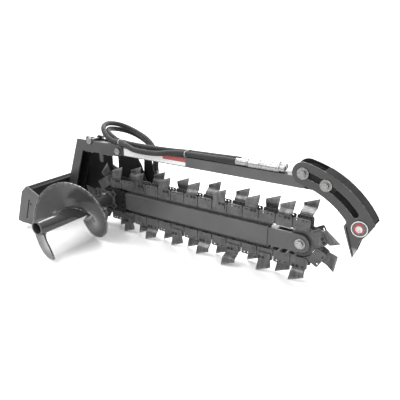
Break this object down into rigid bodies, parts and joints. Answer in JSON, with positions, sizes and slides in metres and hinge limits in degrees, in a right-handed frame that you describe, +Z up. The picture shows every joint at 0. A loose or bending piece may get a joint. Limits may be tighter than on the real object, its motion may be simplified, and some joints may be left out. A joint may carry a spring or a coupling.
{
  "type": "trencher",
  "caption": "Chain trencher attachment: boom with digging chain, side auger, crumber bar on a hinged arm, hydraulic motor and quick-attach plate.",
  "frame": {"origin": "centre of the quick-attach plate's rear face, where the loader's plate rests", "axes": "+X along the boom from the attach plate to the nose, -Y towards the auger's open end, +Z up; the boom is level and the attach plate leans back by 20 degrees"},
  "size_m": [1.9053, 0.876, 0.6017],
  "materials": {
    "black_paint": "satin",
    "grey_paint": "satin",
    "gloss_paint": "gloss",
    "chain_steel": "matt",
    "tooth_steel": "worn",
    "zinc_plate": "zinc plated",
    "bronze": "machined",
    "hose_sleeve": "woven",
    "decal_film": "gloss",
    "cap_plastic": "gloss"
  },
  "bodies": {
    "frame": {"mount_plate": "black_paint", "mount_hook": "black_paint", "mount_ledge": "black_paint", "mount_end_near": "black_paint", "mount_end_far": "black_paint", "side_plate_near": "black_paint", "side_plate_far": "black_paint", "back_plate": "black_paint", "main_plate": "black_paint", "arm_bridge": "black_paint", "tail_tab": "black_paint", "head_plate_near": "black_paint", "head_plate_far": "black_paint", "hub_housing": "black_paint", "near_bearing": "grey_paint", "head_bolts": "zinc_plate", "boom_root": "black_paint", "boom_tube": "grey_paint", "wear_strips": "chain_steel", "tension_anchor": "chain_steel", "motor_body": "black_paint", "motor_bolts": "zinc_plate", "valve_block": "chain_steel", "port_adapters": "zinc_plate", "hose_post": "black_paint", "arm_pivot_bolt": "zinc_plate", "arm_stop_rod": "zinc_plate", "chain_outer_near": "chain_steel", "chain_outer_far": "chain_steel", "chain_inner": "chain_steel", "chain_pins": "chain_steel", "chain_rollers": "chain_steel", "teeth_near": "tooth_steel", "teeth_far": "tooth_steel", "tooth_bolts": "chain_steel", "hose_pressure": "hose_sleeve", "hose_return": "hose_sleeve"},
    "drive": {"drive_shaft": "chain_steel", "drive_sprocket": "chain_steel", "auger_hub": "chain_steel", "auger_tube": "gloss_paint", "auger_flight": "gloss_paint", "auger_bolt": "zinc_plate"},
    "nose": {"nose_fork": "grey_paint", "idler_axle": "zinc_plate", "tension_screw": "zinc_plate"},
    "idler": {"idler_roller": "chain_steel", "idler_bush": "bronze"},
    "crumber_arm": {"arm_tube": "grey_paint", "arm_end_bracket": "grey_paint", "arm_bush": "bronze", "arm_decal": "decal_film", "crumber_bolts": "zinc_plate", "coupler_pressure": "zinc_plate", "coupler_return": "zinc_plate"},
    "crumber": {"crumber_plate_near": "black_paint", "crumber_plate_far": "black_paint", "crumber_rim": "black_paint", "crumber_shoe": "tooth_steel", "crumber_cap": "cap_plastic"}
  },
  "joints": [
    {"name": "drive_spin", "type": "hinge", "parent": "frame", "child": "drive", "pos_m": [0.37, 0, 0.03], "axis": [0, 1, 0], "continuous": true},
    {"name": "nose_tension", "type": "slide", "parent": "frame", "child": "nose", "axis": [1, 0, 0], "range_m": [-0.03, 0]},
    {"name": "idler_spin", "type": "hinge", "parent": "nose", "child": "idler", "pos_m": [1.504, 0, 0.03], "axis": [0, 1, 0], "continuous": true},
    {"name": "crumber_lift", "type": "hinge", "parent": "frame", "child": "crumber_arm", "pos_m": [0.456, 0, 0.317], "axis": [0, -1, 0], "range_deg": [0, 22], "deforming": ["hose_pressure", "hose_return"]},
    {"name": "crumber_adjust", "type": "hinge", "parent": "crumber_arm", "child": "crumber", "pos_m": [1.411, 0, -0.051], "axis": [0, -1, 0], "range_deg": [0, 4.5]}
  ],
  "couplings": [
    {"joint": "idler_spin", "follows": "drive_spin", "ratio": 1}
  ]
}
